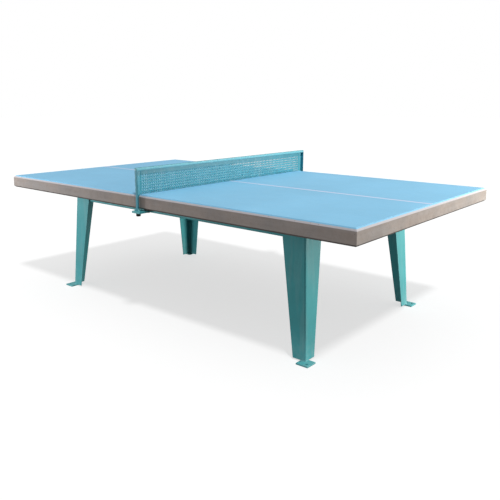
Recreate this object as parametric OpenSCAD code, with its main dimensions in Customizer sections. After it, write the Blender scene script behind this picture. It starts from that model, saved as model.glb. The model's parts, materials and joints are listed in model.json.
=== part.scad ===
// Outdoor table tennis table: a cast concrete top with bevelled edges, four folded sheet-steel
// legs on small foot plates, a steel underframe, and a perforated steel net held at both ends
// by a hand screw under a bracket plate.
// The origin is on the floor under the middle of the table. X runs along the table, Y across
// it and Z up. The players stand at the two X ends, and the net lies in the YZ plane.

/* [Table top] */
// Length of the concrete top
top_length = 2740; // [2600:10:2900]
// Width of the concrete top
top_width = 1525; // [1450:5:1600]
// Height of the playing surface above the floor
top_height = 760; // [740:5:800]
// Thickness of the concrete top, with its coating
top_thickness = 80; // [70:5:100]
// Size of the bevel round the upper edge
upper_bevel = 12; // [6:1:16]
// Size of the bevel round the lower edge
lower_bevel = 9; // [4:1:12]
// Thickness of the blue coating and of the painted line
coat = 0.5; // [0.3:0.1:1]
// Width of the bare concrete left between the coating and the bevel
bare_margin = 1; // [0.5:0.5:10]
// Width of the white line along the middle
middle_line = 20; // [3:1:30]

/* [Legs] */
// Distance of the bend of a leg from the middle of the table, along X, at the top
leg_x = 954; // [900:2:1000]
// Distance of the bend of a leg from the middle of the table, along Y, at the top
leg_y = 531; // [500:1:560]
// How far the bend of a leg leans outwards along X and along Y, over its full height
leg_lean = 28; // [15:1:40]
// Width of each leaf of a leg at the top
leg_top = 147; // [130:1:160]
// Width of each leaf of a leg at the bottom
leg_bottom = 77; // [60:1:90]
// Thickness of the leg sheet
leg_sheet = 5; // [4:0.5:6]
// Side of the square foot plates
foot_side = 70; // [60:2:90]
// Thickness of the foot plates
foot_thick = 8; // [6:1:10]
// Diameter of the floor anchor hole in each foot plate
anchor_hole = 14; // [10:1:16]

/* [Underframe] */
// Thickness of the head plate on each leg
head_thick = 8; // [6:1:10]
// Height of the rails
rail_height = 70; // [60:2:80]
// Width of the rail flanges
rail_flange = 42; // [40:1:44]
// Thickness of the rail sheet
rail_sheet = 4; // [3:0.5:5]

/* [Net] */
// Height of the net above the playing surface
net_height = 152.5; // [150:0.5:155]
// Half length of the net at its upper edge
net_half = 790; // [788:1:796]
// How far the outer edge of each net post leans inwards from the top edge to the table
post_lean = 4; // [2:1:6]
// Thickness of the net sheet
net_sheet = 2.5; // [2:0.5:3]
// Depth of the fold along the top and the ends of the net
net_depth = 20; // [18:1:24]
// Height of the turned-down lip along the top of the net
net_lip = 15; // [12:1:18]
// Distance between neighbouring holes in the net
hole_pitch = 16; // [15:0.25:18]
// Diameter of the holes in the net
hole_diameter = 8; // [6:0.5:10]
// Number of rows of holes
hole_rows = 7; // [5:1:7]

/* [Net fastening] */
// Width of the bracket plates and of the net feet, along X
bracket_width = 66; // [56:2:80]
// Thickness of the bracket plates
bracket_thick = 6; // [5:1:8]
// Reach of a bracket plate from its outer edge in under the top
bracket_reach = 185; // [170:5:220]
// Gap between a bracket plate and the underside of the top
bracket_gap = 14; // [12:1:20]
// Diameter of the knobs
knob_diameter = 26; // [24:1:32]
// Height of the knobs
knob_height = 16; // [14:1:20]

/* [Hidden] */
$fn = 48;
eps = 0.01;

// table top
half_l = top_length / 2;
half_w = top_width / 2;
under = top_height - top_thickness;
slab_top = top_height - coat;
court_l = half_l - upper_bevel - bare_margin;
court_w = half_w - upper_bevel - bare_margin;

// reinforcement, cast in near the underside: the cross bars lie on the long ones
bar_d = 6;
bar_pitch = 150;
bar_cover = 25;
bar_end_cover = 30;
long_bar_z = under + bar_cover + bar_d / 2;
cross_bar_z = long_bar_z + bar_d;
long_bar_steps = floor((half_w - bar_end_cover) / bar_pitch);
cross_bar_steps = floor((half_l - bar_end_cover) / bar_pitch + 0.5);

// legs, foot plates and head plates
lean_rise = under - foot_thick;
lean_angle = atan(leg_lean / lean_rise);
foot_step = 6;
foot_x = leg_x + leg_lean + foot_step;
foot_y = leg_y + leg_lean + foot_step;
anchor_step = 14;
head_inset = 4;
head_side = leg_top + 8;
head_z = under - head_thick;

// rails under the head plates
rail_gap = 2;
rail_y = leg_y - leg_sheet - rail_gap;
rail_x = leg_x - leg_sheet - rail_gap;
rail_bottom = head_z - rail_height;
long_rail_end = rail_x - rail_flange - 2;
end_rail_end = rail_y - rail_flange - 4;

// leg bolts, M12, into inserts cast in the top
m12_d = 12;
m12_across = 18;
m12_head = 7.5;
m12_washer_d = 24;
m12_washer = 2.5;
bolt_line = rail_flange / 2 + 1;
bolt_far = 105;
bolt_near = 66;
leg_bolt_places = [
    [leg_x - bolt_far, rail_y - bolt_line],
    [leg_x - bolt_near, rail_y - bolt_line],
    [rail_x - bolt_line, leg_y - bolt_far],
    [rail_x - bolt_line, leg_y - bolt_near]
];
insert_d = 20;
insert_depth = 45;
thread_in = 22;

// net, its posts and feet
net_back = -net_depth / 2;
net_front = net_depth / 2;
net_top = top_height + net_height;
net_clear = 1.5;
panel_half = half_w - upper_bevel + net_clear;
post_low_half = net_half - post_lean;
post_inner = half_w + 2;
post_top = net_height - net_sheet;
lip_half = net_half - net_sheet - 0.5;
row_low = 9;
hole_columns = 2 * floor((panel_half - hole_diameter) / hole_pitch) + 1;

// bracket, spacers and hand screw
bracket_out = 795;
bracket_top = under - bracket_gap;
bracket_bottom = bracket_top - bracket_thick;
net_foot_thick = 5;
net_foot_top = bracket_top + net_foot_thick;
net_foot_in = 735;
rib_reach = 18;
rib_height = 16;
rib_thick = 3;
screw_y = 775.5;
screw_hole = 9;
m8_d = 8;
m8_across = 13;
m8_nut = 6.5;
thread_fit = 0.05;
thrust_d = 20;
thrust_hole = 8.6;
thrust_thick = 2;
knob_top = bracket_bottom - thrust_thick;
stud_past_nut = 6;
stud_top = net_foot_top + m8_nut + stud_past_nut;
stud_in_knob = 10;
m10_d = 10;
m10_across = 16;
m10_head = 6.4;
m10_washer_d = 20;
m10_washer = 2;
spacer_d = 20;
bracket_bolts_y = [705, 640];

// ---- shapes used more than once ----

// mirrors children made for the back right corner to the corner with the given signs
module corner(sx, sy) {
    mirror([sx < 0 ? 1 : 0, 0, 0]) mirror([0, sy < 0 ? 1 : 0, 0]) children();
}

// leaves children made for the back end of the net (+Y) there, or mirrors them to the front end
module net_end(side) {
    mirror([0, side < 0 ? 1 : 0, 0]) children();
}

module four_corners() {
    for (sx = [-1, 1], sy = [-1, 1]) corner(sx, sy) children();
}

module hexagon(across) {
    circle(d = across / cos(30), $fn = 6);
}

// a hexagon bolt with its shank upwards and the underside of its head at z = 0
module hex_bolt(d, across, head, shank) {
    translate([0, 0, -head]) linear_extrude(head) hexagon(across);
    translate([0, 0, -eps]) cylinder(d = d, h = shank + eps);
}

// a flat ring from z = 0 upwards
module ring(d, hole, h) {
    difference() {
        cylinder(d = d, h = h);
        translate([0, 0, -1]) cylinder(d = hole, h = h + 2);
    }
}

// outline of the slab across one direction, drawn as width and height
module slab_outline(half) {
    polygon([
        [-half + lower_bevel, under], [half - lower_bevel, under],
        [half, under + lower_bevel], [half, top_height - upper_bevel],
        [half - upper_bevel + coat, slab_top], [-half + upper_bevel - coat, slab_top],
        [-half, top_height - upper_bevel], [-half, under + lower_bevel]
    ]);
}

// ---- concrete top ----

module concrete_slab() {
    color([0.60, 0.57, 0.54])
    difference() {
        intersection() {
            translate([0, half_w + 1, 0]) rotate([90, 0, 0])
                linear_extrude(top_width + 2) slab_outline(half_l);
            translate([-half_l - 1, 0, 0]) rotate([90, 0, 90])
                linear_extrude(top_length + 2) slab_outline(half_w);
        }
        four_corners() for (p = leg_bolt_places)
            translate([p[0], p[1], under - 1]) insert_pocket();
        bracket_places(under - 1) insert_pocket();
    }
}

// the room that an insert takes in the concrete, with 1 mm below it to cut cleanly
module insert_pocket() {
    cylinder(d = insert_d + 2 * thread_fit, h = insert_depth + 1 + thread_fit);
}

// reinforcing bars along X, one on the middle line
module mesh_bars_long() {
    color([0.36, 0.33, 0.31])
    for (i = [-long_bar_steps:long_bar_steps])
        translate([-half_l + bar_end_cover, i * bar_pitch, long_bar_z]) rotate([0, 90, 0])
            cylinder(d = bar_d, h = top_length - 2 * bar_end_cover, $fn = 24);
}

// reinforcing bars along Y, either side of the net
module mesh_bars_cross() {
    color([0.36, 0.33, 0.31])
    for (i = [-cross_bar_steps:cross_bar_steps - 1])
        translate([(i + 0.5) * bar_pitch, half_w - bar_end_cover, cross_bar_z])
            rotate([90, 0, 0])
                cylinder(d = bar_d, h = top_width - 2 * bar_end_cover, $fn = 24);
}

// half of the blue coating, on one side of the middle line
module court(side) {
    color([0.45, 0.74, 0.90])
    net_end(side) translate([-court_l, middle_line / 2, slab_top])
        cube([2 * court_l, court_w - middle_line / 2, coat]);
}

module court_front() { court(-1); }
module court_back() { court(1); }

module middle_line_paint() {
    color([0.93, 0.94, 0.95])
    translate([-court_l, -middle_line / 2, slab_top]) cube([2 * court_l, middle_line, coat]);
}

// ---- underframe ----

// a channel rail along X, open towards -Y, with its back at y = 0 and its top at z = 0
module channel(length) {
    rotate([90, 0, 90]) translate([0, 0, -length / 2]) linear_extrude(length) difference() {
        translate([-rail_flange, -rail_height]) square([rail_flange, rail_height]);
        translate([-rail_flange - 1, -rail_height + rail_sheet])
            square([rail_flange + 1 - rail_sheet, rail_height - 2 * rail_sheet]);
    }
}

// vertical bolt holes through the upper flanges
module leg_bolt_holes(z, h) {
    four_corners() for (p = leg_bolt_places)
        translate([p[0], p[1], z]) cylinder(d = m12_d + 1, h = h);
}

module long_rail(side) {
    color([0.16, 0.36, 0.38])
    difference() {
        net_end(side) translate([0, rail_y, head_z]) channel(2 * long_rail_end);
        leg_bolt_holes(head_z - rail_sheet - 1, rail_sheet + 2);
    }
}

module end_rail(side) {
    color([0.16, 0.36, 0.38])
    difference() {
        mirror([side < 0 ? 1 : 0, 0, 0]) translate([rail_x, 0, head_z])
            rotate([0, 0, -90]) channel(2 * end_rail_end);
        leg_bolt_holes(head_z - rail_sheet - 1, rail_sheet + 2);
    }
}

module long_rail_front() { long_rail(-1); }
module long_rail_back() { long_rail(1); }
module end_rail_left() { end_rail(-1); }
module end_rail_right() { end_rail(1); }

// ---- legs ----

// one leaf of a leg, in its own plane: the bend is on the right and leans outwards
module leaf_outline() {
    far = lean_rise / cos(lean_angle) + 40;
    grow = (leg_top - leg_bottom) / (far - 40);
    slope = leg_lean / (far - 40);
    polygon([
        [leg_lean + 20 * slope, -20], [-20 * slope, far - 20],
        [-20 * slope - leg_top - 20 * grow, far - 20],
        [leg_lean + 20 * slope - leg_bottom + 20 * grow, -20]
    ]);
}

// the leaf facing +Y, with the bend at its upper end at x = 0, y = 0
module leaf() {
    translate([0, leg_lean, foot_thick]) rotate([lean_angle, 0, 0]) rotate([90, 0, 0])
        linear_extrude(leg_sheet) leaf_outline();
}

// a folded leg at the back right corner: the +Y leaf and its mirror image across the diagonal
module leg(sx, sy) {
    color([0.36, 0.68, 0.71])
    corner(sx, sy) translate([leg_x, leg_y, 0]) intersection() {
        union() {
            leaf();
            mirror([1, -1, 0]) leaf();
        }
        translate([-leg_top - 50, -leg_top - 50, foot_thick])
            cube([leg_top + 100, leg_top + 100, head_z - foot_thick]);
    }
}

module leg_front_left() { leg(-1, -1); }
module leg_front_right() { leg(1, -1); }
module leg_back_left() { leg(-1, 1); }
module leg_back_right() { leg(1, 1); }

// a square plate under the slab, with its inner corner cut off
module head_plate(sx, sy) {
    color([0.16, 0.36, 0.38])
    difference() {
        corner(sx, sy) translate([leg_x, leg_y, head_z]) linear_extrude(head_thick) polygon([
            [head_inset, head_inset], [-head_side, head_inset], [-head_side, -head_side / 2],
            [-head_side / 2, -head_side], [head_inset, -head_side]
        ]);
        leg_bolt_holes(head_z - 1, head_thick + 2);
    }
}

module head_plate_front_left() { head_plate(-1, -1); }
module head_plate_front_right() { head_plate(1, -1); }
module head_plate_back_left() { head_plate(-1, 1); }
module head_plate_back_right() { head_plate(1, 1); }

module foot_plate(sx, sy) {
    color([0.30, 0.62, 0.68])
    corner(sx, sy) translate([foot_x, foot_y, 0]) difference() {
        translate([-foot_side / 2, -foot_side / 2, 0]) cube([foot_side, foot_side, foot_thick]);
        translate([anchor_step, anchor_step, -1]) cylinder(d = anchor_hole, h = foot_thick + 2);
    }
}

module foot_plate_front_left() { foot_plate(-1, -1); }
module foot_plate_front_right() { foot_plate(1, -1); }
module foot_plate_back_left() { foot_plate(-1, 1); }
module foot_plate_back_right() { foot_plate(1, 1); }

module leg_inserts() {
    color([0.70, 0.70, 0.72])
    four_corners() for (p = leg_bolt_places)
        translate([p[0], p[1], under]) difference() {
            cylinder(d = insert_d, h = insert_depth);
            translate([0, 0, -1]) cylinder(d = m12_d + 2 * thread_fit, h = insert_depth - 4);
        }
}

module leg_bolts() {
    color([0.62, 0.63, 0.65])
    four_corners() for (p = leg_bolt_places)
        translate([p[0], p[1], head_z - rail_sheet - m12_washer])
            hex_bolt(m12_d, m12_across, m12_head,
                m12_washer + rail_sheet + head_thick + thread_in);
}

module leg_washers() {
    color([0.62, 0.63, 0.65])
    four_corners() for (p = leg_bolt_places)
        translate([p[0], p[1], head_z - rail_sheet - m12_washer])
            ring(m12_washer_d, m12_d + 1, m12_washer);
}

// ---- net ----

// the perforated sheet, drawn as Y and height above the playing surface
module panel_outline() {
    difference() {
        translate([-panel_half, net_clear])
            square([2 * panel_half, net_height - net_sheet - net_clear]);
        for (row = [0:hole_rows - 1], column = [0:hole_columns - 1])
            translate([
                (column - (hole_columns - 1) / 2) * hole_pitch,
                row_low + row * hole_pitch
            ]) circle(d = hole_diameter, $fn = 24);
    }
}

module net_panel() {
    color([0.42, 0.70, 0.78])
    union() {
        translate([net_back, 0, top_height]) rotate([90, 0, 90])
            linear_extrude(net_sheet) panel_outline();
        translate([net_back, -net_half, net_top - net_sheet])
            cube([net_depth, 2 * net_half, net_sheet]);
        translate([net_front - net_sheet, -lip_half, net_top - net_lip])
            cube([net_sheet, 2 * lip_half, net_lip]);
    }
}

// outline of the back sheet of a post, drawn as Y and height above the playing surface: it
// passes down outside the bevel of the top
module post_outline() {
    foot = net_foot_top - top_height;
    polygon([
        [panel_half, post_top], [panel_half, net_clear],
        [post_inner, net_clear - (post_inner - panel_half)], [post_inner, foot],
        [post_low_half, foot], [post_low_half, 0], [net_half, post_top]
    ]);
}

// outline of the fold along the outer edge of a post
module post_fold_outline() {
    foot = net_foot_top - top_height;
    polygon([
        [post_low_half - net_sheet, foot], [post_low_half, foot], [post_low_half, 0],
        [net_half, post_top], [net_half - net_sheet, post_top], [post_low_half - net_sheet, 0]
    ]);
}

// a folded post: a back sheet, and a fold along its leaning outer edge
module net_post(side) {
    color([0.36, 0.68, 0.71])
    net_end(side) translate([net_back, 0, top_height]) rotate([90, 0, 90]) union() {
        linear_extrude(net_sheet) post_outline();
        linear_extrude(net_depth) post_fold_outline();
    }
}

module net_post_front() { net_post(-1); }
module net_post_back() { net_post(1); }

// the base plate of a post, with a rib either side
module net_foot(side) {
    color([0.30, 0.62, 0.68])
    net_end(side) difference() {
        union() {
            translate([-bracket_width / 2, net_foot_in, bracket_top])
                cube([bracket_width, bracket_out - net_foot_in, net_foot_thick]);
            for (flip = [0, 1]) mirror([flip, 0, 0])
                translate([net_front, post_low_half, net_foot_top - eps]) rotate([90, 0, 0])
                    linear_extrude(rib_thick)
                        polygon([[0, 0], [rib_reach, 0], [0, rib_height]]);
        }
        translate([0, screw_y, bracket_top - 1]) cylinder(d = screw_hole, h = net_foot_thick + 2);
    }
}

module net_foot_front() { net_foot(-1); }
module net_foot_back() { net_foot(1); }

module net_nuts() {
    color([0.62, 0.63, 0.65])
    for (side = [-1, 1]) net_end(side) translate([0, screw_y, net_foot_top])
        difference() {
            linear_extrude(m8_nut) rotate(30) hexagon(m8_across);
            translate([0, 0, -1]) cylinder(d = m8_d + 2 * thread_fit, h = m8_nut + 2);
        }
}

// ---- brackets under the top ----

module bracket(side) {
    color([0.30, 0.62, 0.68])
    net_end(side) difference() {
        translate([-bracket_width / 2, bracket_out - bracket_reach, bracket_bottom])
            cube([bracket_width, bracket_reach, bracket_thick]);
        translate([0, screw_y, bracket_bottom - 1])
            cylinder(d = screw_hole, h = bracket_thick + 2);
        for (y = bracket_bolts_y) translate([0, y, bracket_bottom - 1])
            cylinder(d = m10_d + 1, h = bracket_thick + 2);
    }
}

module bracket_front() { bracket(-1); }
module bracket_back() { bracket(1); }

// puts children at each bracket bolt, at the given height
module bracket_places(z) {
    for (side = [-1, 1]) net_end(side) for (y = bracket_bolts_y)
        translate([0, y, z]) children();
}

module bracket_spacers() {
    color([0.30, 0.62, 0.68])
    bracket_places(bracket_top) ring(spacer_d, m10_d + 1, bracket_gap);
}

module bracket_inserts() {
    color([0.70, 0.70, 0.72])
    bracket_places(under) difference() {
        cylinder(d = insert_d, h = insert_depth);
        translate([0, 0, -1]) cylinder(d = m10_d + 2 * thread_fit, h = insert_depth - 4);
    }
}

module bracket_bolts() {
    color([0.62, 0.63, 0.65])
    bracket_places(bracket_bottom - m10_washer)
        hex_bolt(m10_d, m10_across, m10_head,
            m10_washer + bracket_thick + bracket_gap + thread_in);
}

module bracket_washers() {
    color([0.62, 0.63, 0.65])
    bracket_places(bracket_bottom - m10_washer) ring(m10_washer_d, m10_d + 1, m10_washer);
}

// ---- hand screws ----

module thrust_washer(side) {
    color([0.75, 0.75, 0.77])
    net_end(side) translate([0, screw_y, knob_top]) ring(thrust_d, thrust_hole, thrust_thick);
}

module thrust_washer_front() { thrust_washer(-1); }
module thrust_washer_back() { thrust_washer(1); }

module screw_stud(side) {
    color([0.70, 0.70, 0.72])
    net_end(side) translate([0, screw_y, knob_top - stud_in_knob])
        cylinder(d = m8_d, h = stud_top - knob_top + stud_in_knob);
}

module screw_stud_front() { screw_stud(-1); }
module screw_stud_back() { screw_stud(1); }

// a fluted round knob with a rounded lower edge and a blind hole for the stud
module knob(side) {
    r = knob_diameter / 2;
    round = 5;
    flutes = 8;
    color([0.07, 0.08, 0.08])
    net_end(side) translate([0, screw_y, knob_top - knob_height]) difference() {
        rotate_extrude() union() {
            translate([0, round]) square([r, knob_height - round]);
            square([r - round, knob_height]);
            translate([r - round, round]) intersection() {
                circle(r = round);
                translate([0, -round]) square([round, round]);
            }
        }
        for (k = [0:flutes - 1]) rotate(k * 360 / flutes)
            translate([r + 1.6, 0, -1]) cylinder(d = 6, h = knob_height + 2, $fn = 24);
        translate([0, 0, knob_height - stud_in_knob])
            cylinder(d = m8_d + 2 * thread_fit, h = stud_in_knob + 1);
    }
}

module knob_front() { knob(-1); }
module knob_back() { knob(1); }

concrete_slab();
mesh_bars_long();
mesh_bars_cross();
court_front();
court_back();
middle_line_paint();
long_rail_front();
long_rail_back();
end_rail_left();
end_rail_right();
leg_front_left();
leg_front_right();
leg_back_left();
leg_back_right();
head_plate_front_left();
head_plate_front_right();
head_plate_back_left();
head_plate_back_right();
foot_plate_front_left();
foot_plate_front_right();
foot_plate_back_left();
foot_plate_back_right();
leg_inserts();
leg_bolts();
leg_washers();
net_panel();
net_post_front();
net_post_back();
net_foot_front();
net_foot_back();
net_nuts();
bracket_front();
bracket_back();
bracket_spacers();
bracket_inserts();
bracket_bolts();
bracket_washers();
thrust_washer_front();
thrust_washer_back();
screw_stud_front();
screw_stud_back();
knob_front();
knob_back();
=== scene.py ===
"""Outdoor table tennis table: the finished look of every piece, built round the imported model."""

import json
import math

import bmesh
import bpy
from bpy.props import FloatProperty, FloatVectorProperty, IntProperty, PointerProperty
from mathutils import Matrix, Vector


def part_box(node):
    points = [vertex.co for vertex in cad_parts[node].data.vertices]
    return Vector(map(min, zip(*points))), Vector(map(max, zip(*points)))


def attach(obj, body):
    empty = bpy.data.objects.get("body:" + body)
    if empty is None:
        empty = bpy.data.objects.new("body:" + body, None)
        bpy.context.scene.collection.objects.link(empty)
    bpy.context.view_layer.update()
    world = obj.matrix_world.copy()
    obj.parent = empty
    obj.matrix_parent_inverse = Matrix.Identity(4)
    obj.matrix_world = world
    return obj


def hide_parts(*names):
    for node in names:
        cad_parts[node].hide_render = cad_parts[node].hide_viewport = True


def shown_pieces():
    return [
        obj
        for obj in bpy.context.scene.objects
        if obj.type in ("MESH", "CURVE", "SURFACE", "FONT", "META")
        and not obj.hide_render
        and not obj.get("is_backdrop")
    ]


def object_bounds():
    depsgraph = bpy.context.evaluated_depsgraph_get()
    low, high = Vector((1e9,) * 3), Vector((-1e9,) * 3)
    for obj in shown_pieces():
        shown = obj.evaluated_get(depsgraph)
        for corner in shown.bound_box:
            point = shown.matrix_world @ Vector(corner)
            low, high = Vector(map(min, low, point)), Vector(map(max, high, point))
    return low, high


bl_info = {
    "name": "Outdoor table tennis table",
    "version": (1, 0, 0),
    "blender": (4, 5, 0),
    "location": "3D View > Sidebar > Table",
    "description": "Builds and finishes the pieces of a concrete table tennis table",
    "category": "Add Mesh",
}

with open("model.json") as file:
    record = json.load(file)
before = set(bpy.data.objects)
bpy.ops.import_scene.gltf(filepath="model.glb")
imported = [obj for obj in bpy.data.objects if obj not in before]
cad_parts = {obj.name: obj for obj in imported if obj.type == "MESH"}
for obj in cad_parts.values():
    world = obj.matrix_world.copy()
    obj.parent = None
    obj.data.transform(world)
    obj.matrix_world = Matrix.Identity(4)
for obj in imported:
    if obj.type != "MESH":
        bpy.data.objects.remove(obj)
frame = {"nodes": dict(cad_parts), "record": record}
CAD_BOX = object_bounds()
NODES = frame["nodes"]

MM = 0.001
# Vertices closer than this are one vertex.
MERGE = 0.002 * MM
# How far inside the outer end of its foot a net post stands, and its gap to the slab.
POST_INSET = 9 * MM
POST_GAP = 2 * MM
# Steps round a hexagon, the angle of its turned corners, and their reach as a share of its width.
HEX_STEPS = 48
HEX_SLOPE = math.tan(math.radians(28))
HEX_CROWN = 0.475
# Where the concrete turns pale with painted light on the top bevel and then blue, down from its
# top, and dark with painted shade, up from its underside.
BEVEL_LIGHT_BAND = (13.5 * MM, 11.5 * MM)
COATED_BAND = (4.8 * MM, 4.2 * MM)
UNDERSIDE_SHADE_BAND = (7.5 * MM, 10.5 * MM)
# Painted light: where the net turns paler, down from its top, for the light that its folded lip
# catches.
LIP_LIGHT_BAND = (18 * MM, 12 * MM)
# Half the floor's width, and how far it lies below the table.
FLOOR_HALF = 40.0
FLOOR_DROP = 0.2 * MM
# Places and sizes of the lights, and what they are aimed at.
MIDDLE = (0.0, 0.0, 0.6)
SUN_PLACE = (5.8, -3.5, 10.6)
SUN_WIDTH = math.radians(6.0)
SIDE_PLACE = (3.2, 2.4, 1.2)
SIDE_SIZE = 1.8
SIDE_TINT = (1.0, 0.98, 0.91)
FILL_PLACE = (-1.9, -2.0, 0.8)
FILL_TARGET = (-1.0, -0.5, 0.5)
FILL_SIZE = 1.0
WHITE = (1.0, 1.0, 1.0, 1.0)
# Sockets of the mix node when it mixes colours.
MIX_SHARE, MIX_FIRST, MIX_SECOND, MIX_RESULT = 0, 6, 7, 2
CORNERS = {
    "front_left": (-1, -1),
    "front_right": (1, -1),
    "back_left": (-1, 1),
    "back_right": (1, 1),
}
ENDS = {"front": -1, "back": 1}
TOP_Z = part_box("court_front")[1].z


# --- settings


def swatch(name, about, default):
    return FloatVectorProperty(
        name=name, description=about, subtype="COLOR", size=3, default=default)


def length(name, about, default):
    return FloatProperty(name=name, description=about, unit="LENGTH", default=default)


def number(name, about, default):
    return FloatProperty(name=name, description=about, default=default)


class TableFinishes(bpy.types.PropertyGroup):
    """Base colours of the finishes."""

    concrete: swatch("Concrete", "Middle tone of the cast concrete", (0.262, 0.232, 0.218))
    # Painted light: pale tone of the top bevel, standing in for the light that the upward-facing
    # bevel catches.
    painted_bevel_light: swatch(
        "Top bevel light", "Pale trowelled concrete of the top and its bevel", (0.43, 0.41, 0.43))
    court: swatch("Court", "Blue coating of the playing surface", (0.256, 0.584, 0.838))
    line: swatch("Line", "White paint of the middle line", (0.64, 0.68, 0.88))
    steel: swatch("Frame steel", "Teal powder coat of the legs and rails", (0.048, 0.330, 0.360))
    # Painted shade: this teal is set darker than the net's own coat, standing in for the shade on
    # the net panel; the painted light of the lip band lifts its top again.
    net: swatch("Net steel", "Lighter teal powder coat of the net", (0.018, 0.225, 0.300))
    zinc: swatch("Zinc", "Zinc plating of bolts, nuts and washers", (0.56, 0.57, 0.58))
    knob: swatch("Knob", "Black plastic of the knobs", (0.012, 0.013, 0.014))


class TableShapes(bpy.types.PropertyGroup):
    """Sizes of the folds, edges and holes that the finished pieces have."""

    leg_sheet: length("Leg sheet", "Thickness of the folded leg sheet", 5 * MM)
    leg_fold: length("Leg fold", "Outer radius of the fold of a leg", 9 * MM)
    rail_sheet: length("Rail sheet", "Thickness of the rail sheet", 4 * MM)
    rail_fold: length("Rail fold", "Outer radius of the folds of a rail", 6 * MM)
    net_sheet: length("Net sheet", "Thickness of the net sheet", 2.5 * MM)
    net_fold: length("Net fold", "Outer radius of the folds of the net and its posts", 3.5 * MM)
    net_lip: length("Net lip", "Height of the turned-down lip of the net", 15 * MM)
    hole_pitch: length("Hole pitch", "Distance between neighbouring holes of the net", 16 * MM)
    hole_width: length("Hole diameter", "Diameter of the holes of the net", 8 * MM)
    first_row: length("First row", "Height of the lowest row of holes above the court", 9 * MM)
    hole_rows: IntProperty(
        name="Hole rows", description="Rows of holes in the net", default=7)
    slab_edge: length("Slab edge", "Rounding of the edges of the concrete", 1.6 * MM)
    plate_edge: length("Plate edge", "Rounding of the edges of thick plates", 0.9 * MM)
    sheet_edge: length("Sheet edge", "Rounding of the cut edges of sheet", 0.6 * MM)
    bead: length("Weld bead", "Radius of the weld beads", 3.0 * MM)
    thread_pitch: length("Thread pitch", "Pitch of the hand screw's thread", 1.25 * MM)


class TableStage(bpy.types.PropertyGroup):
    """Camera, floor and lights."""

    lens: number("Lens", "Focal length of the camera, in millimetres", 43.1)
    camera_place: FloatVectorProperty(
        name="Camera place", description="Place of the camera",
        subtype="TRANSLATION", unit="LENGTH", size=3, default=(2.583, -2.872, 1.2766))
    camera_turn: FloatProperty(
        name="Camera turn", description="Turn of the camera about the vertical",
        subtype="ANGLE", default=0.702)
    camera_dip: FloatProperty(
        name="Camera dip", description="How far the camera looks below the horizon",
        subtype="ANGLE", default=0.123)
    camera_shift: number("Camera shift", "Vertical shift of the lens", -0.15)
    sun: number("Sun", "Strength of the light that casts the floor shadow", 1.7)
    side: number("Side light", "Power of the soft light from behind the right end", 175.0)
    fill: number("Fill light", "Power of the low soft light at the left front", 26.0)
    zenith: number("Zenith", "Strength of the light from straight above", 0.58)
    horizon: number("Horizon", "Strength of the light from the horizon", 0.12)


# --- node groups


class NodeTree:
    """Adds nodes to a material or a group, and links them with short calls."""

    def __init__(self, tree):
        self.tree = tree

    def join(self, value, socket):
        self.tree.links.new(value, socket)

    def feed(self, made, inputs):
        """Sets or links a node's inputs: a socket's name or place, and its value or socket."""
        for name, value in inputs.items():
            if isinstance(value, bpy.types.NodeSocket):
                self.join(value, made.inputs[name])
            else:
                made.inputs[name].default_value = value
        return made

    def node(self, kind, inputs=None, **settings):
        """A node of that kind, with its settings and its inputs."""
        made = self.tree.nodes.new(kind)
        for name, value in settings.items():
            setattr(made, name, value)
        return self.feed(made, inputs or {})

    def math(self, operation, first, second=0.0, clamp=False):
        return self.node(
            "ShaderNodeMath", {0: first, 1: second}, operation=operation, use_clamp=clamp
        ).outputs[0]

    def times(self, first, second, clamp=False):
        return self.math("MULTIPLY", first, second, clamp)

    def span(self, value, low, high, to_low=0.0, to_high=1.0):
        """value carried from the range low to high into the range to_low to to_high."""
        names = ("Value", "From Min", "From Max", "To Min", "To Max")
        inputs = dict(zip(names, (value, low, high, to_low, to_high)))
        return self.node("ShaderNodeMapRange", inputs).outputs["Result"]

    def mix(self, share, first, second, blend="MIX"):
        """A colour between first and second."""
        inputs = {MIX_SHARE: share, MIX_FIRST: first, MIX_SECOND: second}
        made = self.node("ShaderNodeMix", inputs, data_type="RGBA", blend_type=blend)
        return made.outputs[MIX_RESULT]

    def toned(self, colour, tone):
        """A colour made lighter and darker by a tone round 1."""
        grey = self.node("ShaderNodeCombineXYZ", {0: tone, 1: tone, 2: tone}).outputs[0]
        return self.mix(1.0, colour, grey, blend="MULTIPLY")

    def place(self, stretch=(1.0, 1.0, 1.0)):
        """Positions on the piece, stretched."""
        where = self.node("ShaderNodeTexCoord").outputs["Object"]
        return self.node("ShaderNodeMapping", {"Vector": where, "Scale": stretch}).outputs[0]

    def noise(self, scale, detail=3.0, stretch=(1.0, 1.0, 1.0), roughness=0.55):
        inputs = {
            "Vector": self.place(stretch), "Scale": scale, "Detail": detail,
            "Roughness": roughness,
        }
        return self.node("ShaderNodeTexNoise", inputs).outputs["Fac"]

    def height(self):
        """Height above the floor."""
        return self.node("ShaderNodeSeparateXYZ", {0: self.place()}).outputs["Z"]

    def group(self, name, inputs):
        """One of the shared effects, with its own values."""
        effect = bpy.data.node_groups[name]
        return self.node("ShaderNodeGroup", inputs, node_tree=effect).outputs

    def mottle(self, scale, softness):
        return self.group("Mottle", {"Scale": scale, "Softness": softness})["Value"]

    def grain(self, scale, contrast):
        return self.group("Grain", {"Scale": scale, "Contrast": contrast})

    def wear(self, width, breakup, amount):
        inputs = {"Width": width, "Breakup": breakup, "Amount": amount}
        return self.group("Edge wear", inputs)["Mask"]


def new_group(name, inputs, outputs):
    """An empty shader group with float inputs and outputs, and its two end nodes."""
    tree = bpy.data.node_groups.new(name, "ShaderNodeTree")
    for label, value in inputs.items():
        socket = tree.interface.new_socket(label, in_out="INPUT", socket_type="NodeSocketFloat")
        socket.default_value = value
    for label in outputs:
        tree.interface.new_socket(label, in_out="OUTPUT", socket_type="NodeSocketFloat")
    return NodeTree(tree), tree.nodes.new("NodeGroupInput"), tree.nodes.new("NodeGroupOutput")


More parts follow.
